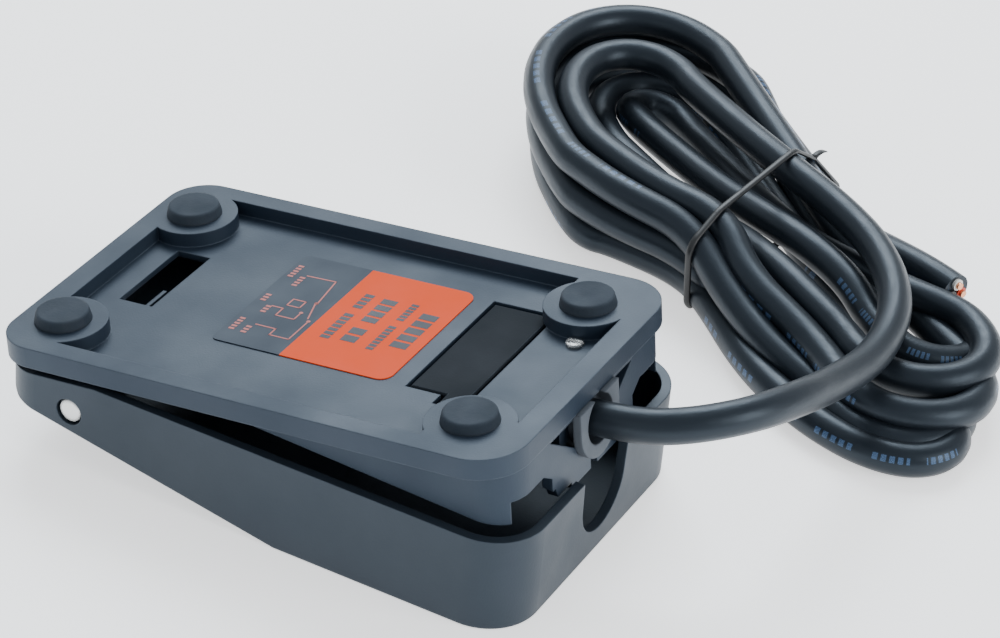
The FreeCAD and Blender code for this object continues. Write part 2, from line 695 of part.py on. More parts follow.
def switch_bracket():
    right = "switch_x - switch_wide / 2"
    top = "-skin_low - post_high"
    foot = make_box("bracket_left", "bracket_near", top + " - bracket_thick",
                    right, "bracket_far", top)
    web = make_box(right + " - bracket_thick", "bracket_near", "-switch_top - switch_high",
                   right, "bracket_far", top)
    tools = []
    for side in ("-", "+"):
        tools.append(make_cylinder("x", "0", "switch_y %s bolt_pitch / 2" % side,
                                   "bolt_z", "bolt_radius", "switch_x"))
        tools.append(make_cylinder("z", "post_x", "switch_y %s post_pitch / 2" % side,
                                   top + " - 5", "bolt_radius", "6"))
    in_plate(cut(fuse(foot, web), *tools), "switch_bracket")
    screws = []
    for side in ("-", "+"):
        y = "switch_y %s post_pitch / 2" % side
        head = make_cylinder("z", "post_x", y, top + " - bracket_thick - 1.3", "2", "1.3")
        shank = make_cylinder("z", "post_x", y, top + " - bracket_thick", "bolt_radius",
                              "bracket_thick + post_high - 0.4")
        screws.append(fuse(head, shank))
    in_plate(group(*screws), "bracket_screws")


def switch_lever():
    """Lever at rest, standing lever_open away from the switch about its own rod."""
    blade = make_box("switch_x - lever_wide / 2", "lever_pivot",
                     "lever_z - lever_thick / 2", "switch_x + lever_wide / 2",
                     "lever_pivot + lever_long", "lever_z + lever_thick / 2")
    rod = make_cylinder("x", "switch_x - switch_wide / 2 + 0.1", "lever_pivot", "lever_z",
                        "lever_rod", "switch_wide - 0.2")
    whole = fuse(blade, rod)
    doc.recompute()
    pivot = Vector(0, value("lever_pivot"), value("lever_z"))
    swing = FreeCAD.Placement(Vector(0, 0, 0),
                              FreeCAD.Rotation(Vector(1, 0, 0), -value("lever_open")), pivot)
    whole.Placement = swing
    in_plate(group(whole), "switch_lever")
    plunger = make_cylinder("z", "switch_x", "plunger_y", "plunger_tip", "plunger_radius",
                            "plunger_long")
    in_plate(group(plunger), "switch_plunger")


def inner_wires():
    """Three cores from the stripped end of the lead to the terminals."""
    radius = value("wire_radius")
    x = value("switch_x") + value("terminal_thick") / 2
    z = -value("switch_top") + 1.1
    start, axis_z = value("tail_start"), value("gland_z")
    for label, step, y, rise in (("wire_white", -1, -1.6, -1.0),
                                 ("wire_red", 0, 0.4, 1.4), ("wire_black", 1, 1.8, -1.0)):
        tab_y = value("switch_y") + step * value("terminal_pitch")
        points = [Vector(start, y, axis_z + rise),
                  Vector(start - 2.2, (y * 2 + tab_y) / 3, axis_z),
                  Vector(x + 3.4, tab_y, z - 0.3), Vector(x, tab_y, z)]
        in_plate(make_tube(label, points, radius), label)


# ---------------------------------------------------------------- pedal

def pedal_cover():
    body = make_body("pedal_cover")
    plan = make_sketch(body, "XY_Plane")
    add_rectangle(plan, "pedal_hinge_end", "-pedal_half", "pedal_cord_end", "pedal_half")
    pad(body, plan, "rim_z")
    end = value("pedal_cord_end")
    round_edges(body, lambda e: along(e, Vector(0, 0, 1)) and
                abs(e.CenterOfMass.x - end) < 0.1, "pedal_corner")
    end_x = value("pedal_hinge_end")
    round_edges(body, lambda e: along(e, Vector(0, 0, 1)) and
                abs(e.CenterOfMass.x - end_x) < 0.1, "heel_corner")
    side = make_sketch(body, "XZ_Plane")
    slope = "tan(tread_slope * 1 deg)"
    outside = "pedal_hinge_end - 1"
    add_polygon(side, [("tread_bend", "0"), ("tread_bend", "-1"), (outside, "-1"),
                       (outside, "heel_z + 2.9"), ("pedal_hinge_end", "heel_z + 2.9"),
                       ("pedal_hinge_end + 0.9", "heel_z + 0.9"),
                       ("pedal_hinge_end + 3.6",
                        "(tread_bend - pedal_hinge_end - 3.6) * " + slope)])
    pocket(body, side, "3 * pedal_half", middle=True)
    relief = make_sketch(body, "XZ_Plane")
    add_polygon(relief, [("relief_start", "rim_z"), (outside, "rim_z + 1"),
                         (outside, "relief_end_z - 0.14"),
                         ("pedal_hinge_end", "relief_end_z")])
    pocket(body, relief, "3 * pedal_half", middle=True)
    hollow(body)
    round_edges(body, outer_bottom, "tread_round")
    notch_and_holes(body)
    inner_details(body)
    grip_grooves(body)
    in_pedal(body, "pedal_cover")


def hollow(body):
    """Open the shell at its rim."""
    top = value("relief_end_z") - 0.5
    faces = ["Face%d" % (i + 1) for i, face in enumerate(body.Tip.Shape.Faces)
             if face.BoundBox.ZMin > top and face.normalAt(0, 0).z > 0.9]
    base = body.Tip
    shell = body.newObject("PartDesign::Thickness", "Shell")
    shell.Base = (base, faces)
    shell.Reversed = True
    shell.Mode = 0
    shell.Join = 1
    shell.setExpression("Value", text("pedal_wall"))
    doc.recompute()


def outer_bottom(edge):
    """Edges round the tread, on the outside of the shell."""
    middle = edge.CenterOfMass
    if middle.z > value("heel_z") + 2.8:
        return False
    if abs(middle.y) > value("pedal_half") - 0.01:
        return not along(edge, Vector(0, 0, 1))
    box = edge.BoundBox
    on_front = box.ZMax < 0.01 and box.XMin > value("tread_bend") + 1
    corner = isinstance(edge.Curve, Part.Line) is False and outside_corner(middle)
    return on_front or corner


def outside_corner(point):
    """True near the outer skin of one of the four upright corners."""
    radius = value("pedal_corner" if point.x > 0 else "heel_corner")
    dy = abs(point.y) - (value("pedal_half") - radius)
    left, right = value("pedal_hinge_end") + radius, value("pedal_cord_end") - radius
    dx = max(left - point.x, point.x - right)
    return dx > 0 and dy > 0 and math.hypot(dx, dy) > radius - 0.8


def notch_and_holes(body):
    notch = make_sketch(body, "YZ_Plane", "pedal_cord_end + 1")
    add_polygon(notch, [("-notch_top", "rim_z + 1"), ("-notch_radius", "notch_z"),
                        ("notch_radius", "notch_z"), ("notch_top", "rim_z + 1")])
    pocket(body, notch, "pedal_wall + 2")
    bottom = make_sketch(body, "YZ_Plane", "pedal_cord_end + 1")
    add_circle(bottom, "0", "notch_z", "notch_radius")
    pocket(body, bottom, "pedal_wall + 2")
    holes = make_sketch(body, "XZ_Plane")
    add_circle(holes, "hinge_x", "pin_height", "pin_radius")
    pocket(body, holes, "3 * pedal_half", middle=True)
    for side, back in (("1", False), ("-1", True)):
        sink = make_sketch(body, "XZ_Plane", "(%s) * (pedal_half + 1)" % side)
        add_circle(sink, "hinge_x", "pin_height", "pin_ring")
        pocket(body, sink, "1 + pedal_half - pin_length / 2 + pin_head_long", back=back)


def inner_details(body):
    """Striker under the lever of the switch, and the seat of the return spring."""
    striker = make_sketch(body, "XY_Plane", "pedal_wall / 2")
    add_rectangle(striker, "striker_left", "striker_near", "striker_right", "striker_far")
    pad(body, striker, "pedal_wall / 2 + striker_high")
    seat = make_sketch(body, "XY_Plane", "pedal_wall")
    add_circle(seat, "spring_x", "0", "seat_radius")
    pad(body, seat, "seat_z - pedal_wall")
    spigot = make_sketch(body, "XY_Plane", "seat_z - 0.5")
    add_circle(spigot, "spring_x", "0", "spigot_radius")
    pad(body, spigot, "spigot_high + 0.5")


def grip_grooves(body):
    """Shallow grooves across the front flat of the tread."""
    groove = make_sketch(body, "XY_Plane")
    for step in range(9):
        x = "tread_bend + 3 + %d * groove_pitch" % step
        add_rectangle(groove, x, "-groove_half", x + " + groove_wide", "groove_half")
    pocket(body, groove, "groove_deep", back=True)


def hinge_pin():
    """Steel pin with a low head at each end, sunk in the sides of the pedal."""
    shaft = make_cylinder("y", "hinge_x", "-pin_length / 2", "pin_height", "pin_radius",
                          "pin_length")
    heads = [make_cylinder("y", "hinge_x", start, "pin_height", "pin_head",
                           "pin_head_long")
             for start in ("-pin_length / 2", "pin_length / 2 - pin_head_long")]
    pin = fuse(shaft, *heads)
    doc.recompute()
    outer = value("pin_length") / 2
    size = value("pin_round")
    ends = doc.addObject("Part::Fillet", "PinEnds")
    ends.Base = pin
    ends.Edges = [(i + 1, size, size) for i, edge in enumerate(pin.Shape.Edges)
                  if isinstance(edge.Curve, Part.Circle)
                  and abs(abs(edge.CenterOfMass.y) - outer) < 1e-3]
    in_pedal(ends, "hinge_pin")


def return_spring():
    radius, low, high = value("spring_radius"), value("spring_low"), value("spring_high")
    count = round(value("spring_turns * spring_points"))
    points = []
    for i in range(count + 1):
        angle = 2 * math.pi * i / value("spring_points")
        points.append(Vector(value("spring_x") + radius * math.cos(angle),
                             radius * math.sin(angle), low + (high - low) * i / count))
    in_pedal(make_tube("return_spring", points, value("spring_wire")), "return_spring")


# ---------------------------------------------------------------- lead, hank and tie

def in_hank(item, label):
    item.Label = label
    item.Placement.Rotation = FreeCAD.Rotation(Vector(0, 0, 1), DIMENSIONS["hank_turn"])
    place(item, "hank_x", "hank_y", "0")
    parts.append(item)
    return item


def hank_point(x, y, z):
    """A point of the hank's frame, given in the row's frame."""
    turn = math.radians(value("hank_turn"))
    return Vector(value("hank_x") + x * math.cos(turn) - y * math.sin(turn),
                  value("hank_y") + x * math.sin(turn) + y * math.cos(turn), z)


def lead():
    exit_point = plate_point(value("wedge_end"), 0, value("gland_z"))
    points = [exit_point] + LEAD + [hank_point(*p) for p in LEAD_LAST]
    in_pedal(make_tube("cord_lead", points, value("cord_radius")), "cord_lead")


def hank():
    """Outer shape of the hank: a high lobe and waist, and a low lobe under the lead."""
    body = make_body("hank_outline")
    for corners, height in (
            (("hank_left", "lobe_near", "lobe_end", "lobe_far"), "hank_high"),
            (("lobe_end - 1", "waist_near", "step_x", "waist_far"), "hank_high"),
            (("step_x - 1", "waist_near", "fan_start + 1", "waist_far"), "hank_low")):
        sketch = make_sketch(body, "XY_Plane")
        add_rectangle(sketch, *corners)
        pad(body, sketch, height)
    fan = make_sketch(body, "XY_Plane")
    add_polygon(fan, [("fan_start", "fan_near"), ("hank_right", "fan_near"),
                      ("hank_right", "fan_slant_y"), ("fan_slant_x", "fan_far"),
                      ("fan_start", "fan_far")])
    pad(body, fan, "hank_low")
    left, slant = value("hank_left"), value("fan_slant_x")
    round_edges(body, lambda e: along(e, Vector(0, 0, 1)) and
                abs(e.CenterOfMass.x - left) < 0.1, "lobe_corner")
    round_edges(body, lambda e: along(e, Vector(0, 0, 1)) and
                e.CenterOfMass.x > slant - 0.1, "fan_corner")
    in_hank(cut(body, tie_ring()), "cord_hank")


def tie_ring():
    outer = make_box("-tie_wide / 2", "-tie_out", "0", "tie_wide / 2", "tie_out", "tie_high")
    inner = make_box("-tie_wide", "-tie_in", "tie_thick",
                     "tie_wide", "tie_in", "tie_high - tie_thick")
    ring = cut(outer, inner)
    ring.Placement.Rotation = FreeCAD.Rotation(Vector(0, 0, 1), DIMENSIONS["tie_turn"])
    return place(ring, "tie_x", "tie_y", "0")


def cut_end():
    """The free end comes out of the hank and shows its three cores."""
    start = hank_point(value("end_start_x"), value("end_start_y"), value("end_z"))
    end = hank_point(value("end_x"), value("end_y"), value("end_z"))
    along_end = (end - start).normalize()
    beside = along_end.cross(Vector(0, 0, 1))
    in_pedal(make_tube("cord_end", [start, end], value("cord_radius")), "cord_end")
    tip = end + along_end * value("core_long")
    strands = []
    for label, angle in (("core_white", 90), ("core_red", 210), ("core_black", 330)):
        turn = math.radians(angle)
        off = (beside * math.cos(turn) + Vector(0, 0, math.sin(turn))) * value("core_spread")
        in_pedal(make_tube(label, [end + off, tip + off], value("core_radius")), label)
        copper = [tip + off, tip + off + along_end * value("copper_long")]
        strands.append(make_tube("copper", copper, value("copper_radius")))
    in_pedal(group(*strands), "core_copper")


def check_and_export():
    doc.recompute()
    for item in doc.Objects:
        if "Invalid" in item.State or "Error" in item.State:
            raise RuntimeError("%s (%s) failed: %s" % (item.Name, item.Label, item.State))
    for item in parts:
        if item.Shape.isNull() or not item.Shape.isValid():
            raise RuntimeError("%s has no valid shape" % item.Label)
    os.makedirs("parts", exist_ok=True)
    for item in parts:
        item.Shape.exportStep("parts/%s.step" % item.Label)
        print("%-18s %8.1f mm3 %s" % (item.Label, item.Shape.Volume,
                                      item.Shape.BoundBox))


fill_sheet()
base_housing()
rubber_feet()
access_cover()
label_plates()
cable_bushing()
cable_clamp()
snap_switch()
switch_bracket()
switch_lever()
inner_wires()
pedal_cover()
hinge_pin()
return_spring()
lead()
hank()
in_hank(group(tie_ring()), "cable_tie")
cut_end()
check_and_export()
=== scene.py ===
"""Small foot switch lying on its tread, with its lead tied in a hank beside it.

Metres, in the frame of the CAD model: +X from the hinge towards the lead, +Z up from
the tread towards the rubber feet. The base stands open by TILT about the hinge pin.
"""
import math

import bmesh
import bpy
from mathutils import Matrix, Vector


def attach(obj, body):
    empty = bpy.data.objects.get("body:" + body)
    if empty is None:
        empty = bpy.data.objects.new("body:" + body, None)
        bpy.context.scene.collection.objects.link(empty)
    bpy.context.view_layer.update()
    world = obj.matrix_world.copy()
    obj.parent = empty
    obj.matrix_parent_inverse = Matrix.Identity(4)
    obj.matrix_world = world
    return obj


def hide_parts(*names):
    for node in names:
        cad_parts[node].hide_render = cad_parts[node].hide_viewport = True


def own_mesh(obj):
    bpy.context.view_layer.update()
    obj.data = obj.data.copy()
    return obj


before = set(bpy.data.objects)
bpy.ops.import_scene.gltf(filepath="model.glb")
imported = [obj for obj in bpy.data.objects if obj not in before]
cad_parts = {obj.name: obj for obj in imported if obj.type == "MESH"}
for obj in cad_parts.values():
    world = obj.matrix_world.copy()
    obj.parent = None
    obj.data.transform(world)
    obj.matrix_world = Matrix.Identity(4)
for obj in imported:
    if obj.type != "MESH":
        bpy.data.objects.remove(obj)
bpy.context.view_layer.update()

MM = 0.001
TILT = math.radians(8.0)
# the hinge pin, given in millimetres, in the model's frame and in the frame of the base's
# foot-side face
HINGE = Vector((-35.9, 0, 11.8)) * MM
HINGE_IN_PLATE = Vector((-35.9, 0, -11.1)) * MM


def plate(x, y, z):
    """A point given in millimetres in the frame of the base's foot-side face."""
    off = Vector((x, y, z)) * MM - HINGE_IN_PLATE
    return HINGE + Matrix.Rotation(-TILT, 3, "Y") @ off


# ---------------------------------------------------------------- camera, light, floor

CAMERA_PLACE = Vector((0.2519, -0.4616, 0.3820))
CAMERA_VIEW = Vector((-0.3596, 0.7492, -0.5563))
CAMERA_UP = Vector((-0.3235, 0.4590, 0.8274))


def add_camera():
    data = bpy.data.cameras.new("camera")
    data.lens, data.sensor_width, data.clip_start = 129.26, 36.0, 0.01
    camera = bpy.data.objects.new("camera", data)
    bpy.context.scene.collection.objects.link(camera)
    view = CAMERA_VIEW.normalized()
    right = view.cross(CAMERA_UP).normalized()
    turn = Matrix((right, right.cross(view), -view)).transposed().to_4x4()
    camera.matrix_world = Matrix.Translation(CAMERA_PLACE) @ turn
    bpy.context.scene.camera = camera


def add_area_light(name, place, target, size, watts, colour=(1, 1, 1)):
    data = bpy.data.lights.new(name, "AREA")
    data.shape, data.size, data.energy, data.color = "SQUARE", size, watts, colour
    light = bpy.data.objects.new(name, data)
    bpy.context.scene.collection.objects.link(light)
    light.location = place
    light.rotation_euler = (Vector(target) - Vector(place)).to_track_quat("-Z", "Y").to_euler()


def add_studio():
    middle = (0.02, 0.04, 0.0)
    add_area_light("key", (-0.45, 0.85, 0.95), middle, 0.8, 19.0, (0.85, 0.93, 1))
    add_area_light("side", (1.0, 0.05, 0.45), middle, 0.6, 7.0)
    add_area_light("front", (-0.3, -0.9, 0.35), middle, 0.8, 0.8)
    world = bpy.data.worlds.new("studio")
    world.use_nodes = True
    world.node_tree.nodes["Background"].inputs["Color"].default_value = (0.88, 0.94, 1, 1)
    world.node_tree.nodes["Background"].inputs["Strength"].default_value = 0.75
    bpy.context.scene.world = world
    mesh = bpy.data.meshes.new("floor")
    mesh.from_pydata([(-3, -3, 0), (3, -3, 0), (3, 3, 0), (-3, 3, 0)], [], [(0, 1, 2, 3)])
    floor = link("floor", mesh)
    floor.data.materials.append(
        Surface("floor", (0.95, 0.955, 0.96), 0.7, Emission_Color=(1, 1, 1, 1),
                Emission_Strength=1.0).speckle(30, 0.03).finish())


def link(name, data):
    item = bpy.data.objects.new(name, data)
    bpy.context.scene.collection.objects.link(item)
    return item


# ---------------------------------------------------------------- materials

class Surface:
    """A node material that is built up in steps.

    paint, speckle, worn_and_highlit_edges, rough_by, bump and grain change the look and return the
    surface, so that they can be chained; finish returns the material itself.
    """

    def __init__(self, name, colour, roughness, coords="Object", **sockets):
        self.material = bpy.data.materials.new(name)
        self.material.use_nodes = True
        self.tree = self.material.node_tree
        self.shader = self.tree.nodes["Principled BSDF"]
        self.shader.inputs["Roughness"].default_value = roughness
        self.material.diffuse_color = (*colour, 1)
        for socket, level in sockets.items():
            self.shader.inputs[socket.replace("_", " ")].default_value = level
        place = self.add("ShaderNodeTexCoord")
        self.coords = place.outputs[coords]
        base = self.add("ShaderNodeRGB")
        base.outputs[0].default_value = (*colour, 1)
        self.colour, self.rough, self.normal = base.outputs[0], roughness, None

    def add(self, kind, **settings):
        node = self.tree.nodes.new(kind)
        for key, setting in settings.items():
            setattr(node, key, setting)
        return node

    def wire(self, source, socket):
        self.tree.links.new(source, socket)

    def maths(self, operation, first, second=0.0):
        node = self.add("ShaderNodeMath", operation=operation)
        for value, socket in ((first, node.inputs[0]), (second, node.inputs[1])):
            if isinstance(value, (int, float)):
                socket.default_value = value
            else:
                self.wire(value, socket)
        return node.outputs[0]

    def dashes(self, along, pitch, share):
        """1 over the first share of every pitch, 0 over the rest."""
        return self.maths("LESS_THAN", self.maths("MODULO", along, pitch), pitch * share)

    def noise(self, scale, detail=3.0, stretch=(1, 1, 1), rough=0.5):
        mapping = self.add("ShaderNodeMapping")
        mapping.inputs["Scale"].default_value = stretch
        self.wire(self.coords, mapping.inputs["Vector"])
        node = self.add("ShaderNodeTexNoise")
        node.inputs["Scale"].default_value = scale
        node.inputs["Detail"].default_value = detail
        node.inputs["Roughness"].default_value = rough
        self.wire(mapping.outputs["Vector"], node.inputs["Vector"])
        return node.outputs["Fac"]

    def between(self, value, low, high, to_low, to_high):
        node = self.add("ShaderNodeMapRange", clamp=True)
        self.wire(value, node.inputs["Value"])
        for key, level in (("From Min", low), ("From Max", high),
                           ("To Min", to_low), ("To Max", to_high)):
            node.inputs[key].default_value = level
        return node.outputs["Result"]

    def paint(self, mask, colour):
        """Mix a colour in where the mask is 1."""
        node = self.add("ShaderNodeMix", data_type="RGBA")
        self.wire(mask, node.inputs["Factor"])
        self.wire(self.colour, node.inputs["A"])
        node.inputs["B"].default_value = (*colour, 1)
        self.colour = [o for o in node.outputs if o.type == "RGBA"][0]
        return self

    def speckle(self, scale, amount, colour=(1, 1, 1), detail=4.0):
        """Broad, soft change of shade."""
        return self.paint(self.between(self.noise(scale, detail), 0.35, 0.75, 0, amount),
                          colour)

    def worn_and_highlit_edges(self, radius, colour, amount):
        """Round the edges in the shading and lighten them in paint: partly wear, as on a
        handled moulding, and partly a painted highlight along the edges.
        """
        bevel = self.add("ShaderNodeBevel", samples=4)
        bevel.inputs["Radius"].default_value = radius
        geometry = self.add("ShaderNodeNewGeometry")
        dot = self.add("ShaderNodeVectorMath", operation="DOT_PRODUCT")
        self.wire(bevel.outputs[0], dot.inputs[0])
        self.wire(geometry.outputs["Normal"], dot.inputs[1])
        patchy = self.between(self.noise(160), 0.35, 0.7, 0.25, 1.0)
        # lighter colour where the bevelled normal turns away: painted edge highlight, partly
        # wear
        edge = self.between(dot.outputs["Value"], 0.80, 0.995, amount, 0.0)
        self.paint(self.maths("MULTIPLY", edge, patchy), colour)
        self.normal = bevel.outputs[0]
        return self

    def rough_by(self, scale, low, high, stretch=(1, 1, 1)):
        self.rough = self.between(self.noise(scale, 5, stretch), 0.3, 0.75, low, high)
        return self

    def bump(self, height, strength, distance):
        node = self.add("ShaderNodeBump")
        node.inputs["Strength"].default_value = strength
        node.inputs["Distance"].default_value = distance
        self.wire(height, node.inputs["Height"])
        if self.normal:
            self.wire(self.normal, node.inputs["Normal"])
        self.normal = node.outputs["Normal"]
        return self

    def grain(self, scale, strength, distance, stretch=(1, 1, 1)):
        return self.bump(self.noise(scale, 2, stretch), strength, distance)

    def finish(self):
        self.wire(self.colour, self.shader.inputs["Base Color"])
        if not isinstance(self.rough, float):
            self.wire(self.rough, self.shader.inputs["Roughness"])
        if self.normal:
            self.wire(self.normal, self.shader.inputs["Normal"])
        return self.material


COOL = (0.70, 0.85, 1.0, 1.0)


def moulding(name, colour, low, high, gloss=0.45):
    """Spark-eroded black plastic with rub marks, a little dust, and edges lightened in paint,
    partly as wear and partly as a painted highlight.
    """
    surface = Surface(name, colour, 0.5, Specular_IOR_Level=gloss, Specular_Tint=COOL)
    lighter = tuple(min(1.0, c * 2.0 + 0.008) for c in colour)
    surface.speckle(22, 0.22, lighter).speckle(210, 0.12, lighter)
    # lighter edges: partly wear, partly a painted edge highlight
    surface.worn_and_highlit_edges(0.35 * MM, (0.10, 0.125, 0.16), 0.7)
    scratches = surface.noise(90, 6, (0.25, 5.0, 1.0), 0.7)
    surface.paint(surface.between(scratches, 0.70, 0.80, 0.0, 0.30), (0.09, 0.11, 0.13))
    surface.rough_by(55, low, high)
    return surface.grain(2600, 0.35, 0.06 * MM).grain(45, 0.2, 0.25 * MM).finish()


def rubber(name, colour):
    surface = Surface(name, colour, 0.8, Specular_IOR_Level=0.35, Specular_Tint=COOL)
    surface.speckle(260, 0.25, (0.05, 0.055, 0.06))
    # lighter edges: partly wear, partly a painted edge highlight
    surface.worn_and_highlit_edges(0.6 * MM, (0.09, 0.10, 0.12), 0.5).rough_by(120, 0.62, 0.85)
    return surface.grain(1800, 0.5, 0.08 * MM).finish()


def metal(name, colour, roughness, rounding=0.15):
    surface = Surface(name, colour, roughness, Metallic=1.0)
    surface.speckle(400, 0.25, tuple(c * 0.6 for c in colour))
    # lighter edges: partly wear, partly a painted edge highlight
    surface.worn_and_highlit_edges(rounding * MM, tuple(min(1, c * 1.2) for c in colour), 0.4)
    surface.rough_by(300, roughness * 0.7, roughness * 1.4)
    return surface.grain(900, 0.15, 0.04 * MM).finish()


def film(name, colour, roughness, uneven=0.15, gloss=0.35):
    """Printed film: the ink lies a little unevenly."""
    surface = Surface(name, colour, roughness, Specular_IOR_Level=gloss,
                      Specular_Tint=COOL)
    surface.speckle(80, uneven, tuple(c * 0.7 for c in colour))
    surface.speckle(900, uneven / 2, tuple(min(1, c * 1.5 + 0.01) for c in colour))
    surface.rough_by(70, roughness - 0.08, roughness + 0.12)
    return surface.grain(700, 0.25, 0.03 * MM).finish()


def insulation(name, colour, roughness=0.38):
    surface = Surface(name, colour, roughness, Specular_IOR_Level=0.5)
    surface.speckle(500, 0.18, tuple(c * 0.6 for c in colour))
    return surface.grain(1500, 0.2, 0.04 * MM).finish()


def jacket():
    """Cable jacket: drawn-out streaks, and print marks in place of any wording."""
    surface = Surface("cord_jacket", (0.007, 0.0095, 0.013), 0.34, coords="UV",
                      Specular_IOR_Level=0.38, Specular_Tint=COOL)
    surface.speckle(9, 0.35, (0.016, 0.021, 0.028))
    split = surface.add("ShaderNodeSeparateXYZ")
    surface.wire(surface.coords, split.inputs[0])
    along = split.outputs["X"]
    twist = surface.maths("MULTIPLY", along, PRINT_TURNS)
    around = surface.maths("FRACT", surface.maths("ADD", split.outputs["Y"], twist))
    length = surface.maths("MULTIPLY", along, CORD_LENGTH / MM)
    letters, words, runs = (surface.dashes(length, *dash) for dash in PRINT_DASHES)
    band = surface.maths("COMPARE", around, PRINT_SIDE)
    band.node.inputs[2].default_value = PRINT_HALF
    ink = surface.maths("MULTIPLY", surface.maths("MULTIPLY", letters, words),
                        surface.maths("MULTIPLY", runs, band))
    patchy = surface.between(surface.noise(240, 3, (30, 1, 1)), 0.38, 0.62, 0.05, 0.6)
    surface.paint(surface.maths("MULTIPLY", ink, patchy), (0.12, 0.22, 0.42))
    surface.rough_by(400, 0.32, 0.46, (1.0, 0.05, 1.0))
    surface.grain(30, 0.25, 0.10 * MM, (40.0, 1.0, 1.0))
    return surface.grain(60, 0.2, 0.03 * MM, (1.0, 8.0, 1.0)).finish()


# ---------------------------------------------------------------- lead and hank

CORD_RADIUS = 3.25
CORD_LENGTH = 1.795

# print on the jacket: pitch in millimetres and inked share of the letters, the words and
# the runs of words; then the side it is on and half its width, in turns round the cord,
# and how many times it winds round in the cord's whole length
PRINT_DASHES = ((1.9, 0.62), (13.0, 0.70), (118.0, 0.60))
PRINT_SIDE, PRINT_HALF, PRINT_TURNS = 0.75, 0.032, 2.0

# the loose stretch, from the bushing over the hank, in millimetres
LEAD = [(49.58, 0, 26.54), (57.7, 0, 27.7), (66.3, 3.4, 29.3), (74, 12, 29.8),
        (77.2, 24, 27.4), (78.4, 39, 22.6), (79.4, 57, 18.6), (76, 75.5, 18)]

# The hank in its own frame, x along it and y across it. "turn" is half a turn round one
# end: which end, its reach, y of the leg that arrives, y of the leg that leaves, their
# heights, how long the end is for its width, and how far the legs' bends are apart.
LEFT, RIGHT = -1, 1
HANK_PLACE, HANK_TURN = (33.0, 100.0), math.radians(-37.5)
HANK = [
    ("leg", (32, 12.7, 17.9), (15, 12.6, 17.9), (-4, 9, 18)),
    ("turn", LEFT, 53, 6.5, -21.5, 16.5, 16.5, 1.3, 16),
    ("leg", (-4, -17.5, 16.5), (10, -10, 16.5), (24, -12, 12.5), (40, -8, 9.75)),
    ("turn", RIGHT, 70, -7.5, 20, 9, 6, 1.0, 0),
    ("leg", (34, 19, 6), (16, 15, 9.75), (-4, 15, 14)),
    ("turn", LEFT, 66, 18, -28.5, 16.5, 16.5, 1.3, 26),
    ("leg", (-4, -25, 16.5), (9, -16.5, 15), (24, -16, 10), (40, -14, 6.5)),
    ("turn", RIGHT, 72, -9.5, 14, 4.5, 3.25, 1.0, 0),
    ("leg", (36, 11.5, 3.25), (16, 10, 3.25), (-2, 12, 3.25)),
    ("turn", LEFT, 59.5, 16.5, -9, 3.25, 5, 1.3, 6),
    ("leg", (-10, -7.5, 6), (6, -4.5, 9), (20, -4, 11.5), (36, -2, 10.5)),
    ("turn", RIGHT, 63, -1, 24, 9.75, 9.75, 1.0, 0),
    ("leg", (34, 17, 10), (16, 8, 9.75), (-2, 6, 8.5)),
    ("turn", LEFT, 51, 9.5, -2, 3.25, 7, 1.2, 0),
    ("leg", (-12, 0, 9), (6, 2, 12), (18, 4.5, 13), (30, 7, 12)),
    ("turn", RIGHT, 55, 7, 25.5, 9.75, 5, 1.0, 0),
    ("leg", (24, 20, 3.25), (10, 17, 3.25), (-3, 17.5, 3.6)),
    ("turn", LEFT, 66, 23.5, -28.5, 10, 9.75, 1.3, 26),
    ("leg", (-4, -25, 9.75), (9, -16, 9), (26, -10, 3.25), (44, -3, 3.25),
     (56, 4, 3.25), (64, 9, 3.25), (71, 9, 3.25), (76, 4, 3.25), (76, -3.5, 3.25),
     (70, -10, 3.25), (60, -14.5, 3.25), (48, -17, 3.25), (36, -17.5, 3.25),
     (20, -15.5, 3.25), (7, -15, 3.25), (-8, -24, 3.25)),
    ("turn", LEFT, 66, -27.5, 27, 3.25, 3.25, 1.3, -26),
    ("leg", (-14, 25, 3.25), (2, 21.3, 4), (16, 22, 8), (30, 25.33, 10), (37, 27, 10)),
]
# steps round half a turn, and the straight lead before it and after it in millimetres
STEPS, LEAD_IN = 6, 6.5


def half_turn(side, reach, arrive, leave, low, high, sweep, skew):
    """Points of one turn; the outer ones stand off so that the curve reaches its width."""
    half, middle = (arrive - leave) / 2, (arrive + leave) / 2
    long = abs(half) * sweep
    wide = 1 / math.cos(math.pi / STEPS / 2)
    start = side * (reach - long - LEAD_IN)
    points = [(start - skew / 2, arrive, low)]
    for step in range(STEPS + 1):
        angle, share = math.pi * step / STEPS, step / STEPS
        points.append((side * (reach - long + long * wide * math.sin(angle))
                       + skew * (share - 0.5),
                       middle + half * wide * math.cos(angle), low + (high - low) * share))
    return points + [(start + skew / 2, leave, high)]


def from_hank(x, y, z):
    turned = Matrix.Rotation(HANK_TURN, 3, "Z") @ Vector((x, y, z))
    return (turned + Vector((*HANK_PLACE, 0))) * MM


def cord_route():
    points = [Vector(p) * MM for p in LEAD]
    for kind, *rest in HANK:
        points += [from_hank(*p) for p in (rest if kind == "leg" else half_turn(*rest))]
    return points


def nurbs_curve(name, points, radius):
    curve = bpy.data.curves.new(name, "CURVE")
    curve.dimensions, curve.resolution_u = "3D", 10
    curve.bevel_depth, curve.bevel_resolution, curve.use_fill_caps = 1.0, 6, True
    spline = curve.splines.new("NURBS")
    spline.points.add(len(points) - 1)
    for target, point in zip(spline.points, points):
        target.co, target.radius = (*point, 1), radius
    spline.order_u = 3
    spline.use_endpoint_u = True
    return link(name, curve)


def line_of(curve):
    """Points along a curve's middle line."""
    depth, curve.data.bevel_depth = curve.data.bevel_depth, 0.0
    mesh = bpy.data.meshes.new_from_object(curve)
    curve.data.bevel_depth = depth
    points = [v.co.copy() for v in mesh.vertices]
    bpy.data.meshes.remove(mesh)
    return points


# ---------------------------------------------------------------- tie round the hank

